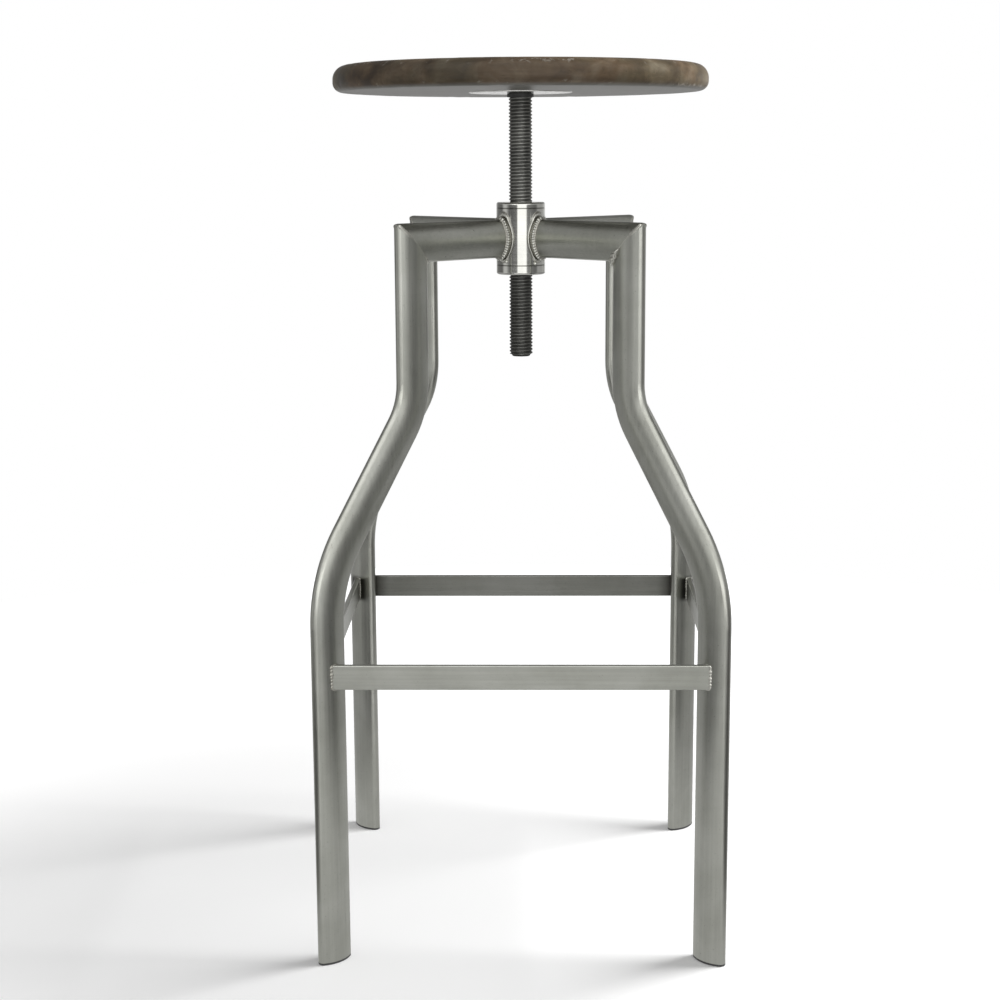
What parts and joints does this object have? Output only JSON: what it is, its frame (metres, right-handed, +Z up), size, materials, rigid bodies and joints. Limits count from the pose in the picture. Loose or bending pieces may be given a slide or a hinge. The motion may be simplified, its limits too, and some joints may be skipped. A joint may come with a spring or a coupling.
{
  "type": "bar stool",
  "caption": "Bar stool with a round wooden seat on a threaded post that winds up and down in the hub of a bent oval-tube steel frame tied by flat foot rails.",
  "frame": {"origin": "on the floor, below the middle of the seat and the threaded post", "axes": "+Z up along the threaded post, -Y towards the front, +X to the right seen from the front"},
  "size_m": [0.3514, 0.3514, 0.764],
  "materials": {
    "frame_steel": "clear-coated raw steel, satin",
    "hub_steel": "turned steel, clear-coated",
    "weld_steel": "brushed weld beads under clear coat",
    "screw_steel": "blackened steel thread with bright crests",
    "flange_steel": "bright zinc-plated",
    "seat_wood": "dark stained, satin varnish",
    "stop_rubber": "matte black",
    "plug_plastic": "matte black"
  },
  "bodies": {
    "frame": {"hub_sleeve": "hub_steel", "upper_bush": "hub_steel", "lower_bush": "hub_steel", "arm_back_right": "frame_steel", "arm_back_left": "frame_steel", "arm_front_left": "frame_steel", "arm_front_right": "frame_steel", "leg_back_right": "frame_steel", "leg_back_left": "frame_steel", "leg_front_left": "frame_steel", "leg_front_right": "frame_steel", "foot_plug_back_right": "plug_plastic", "foot_plug_back_left": "plug_plastic", "foot_plug_front_left": "plug_plastic", "foot_plug_front_right": "plug_plastic", "rail_right": "frame_steel", "rail_back": "frame_steel", "rail_left": "frame_steel", "rail_front": "frame_steel", "arm_welds": "weld_steel", "corner_welds": "weld_steel", "rail_welds": "weld_steel"},
    "lift": {"stop_ring": "stop_rubber"},
    "seat": {"seat_board": "seat_wood", "seat_flange": "flange_steel", "flange_screws": "flange_steel", "lift_screw": "screw_steel", "post_weld": "weld_steel"}
  },
  "joints": [
    {"name": "seat_height", "type": "slide", "parent": "frame", "child": "lift", "axis": [0, 0, 1], "range_m": [-0.0885, 0.06]},
    {"name": "seat_spin", "type": "hinge", "parent": "lift", "child": "seat", "pos_m": [0, 0, 0.6], "axis": [0, 0, 1], "range_deg": [-10620, 7200]}
  ],
  "couplings": [
    {"joint": "seat_height", "follows": "seat_spin", "m_per_rad": 0.00047746}
  ]
}
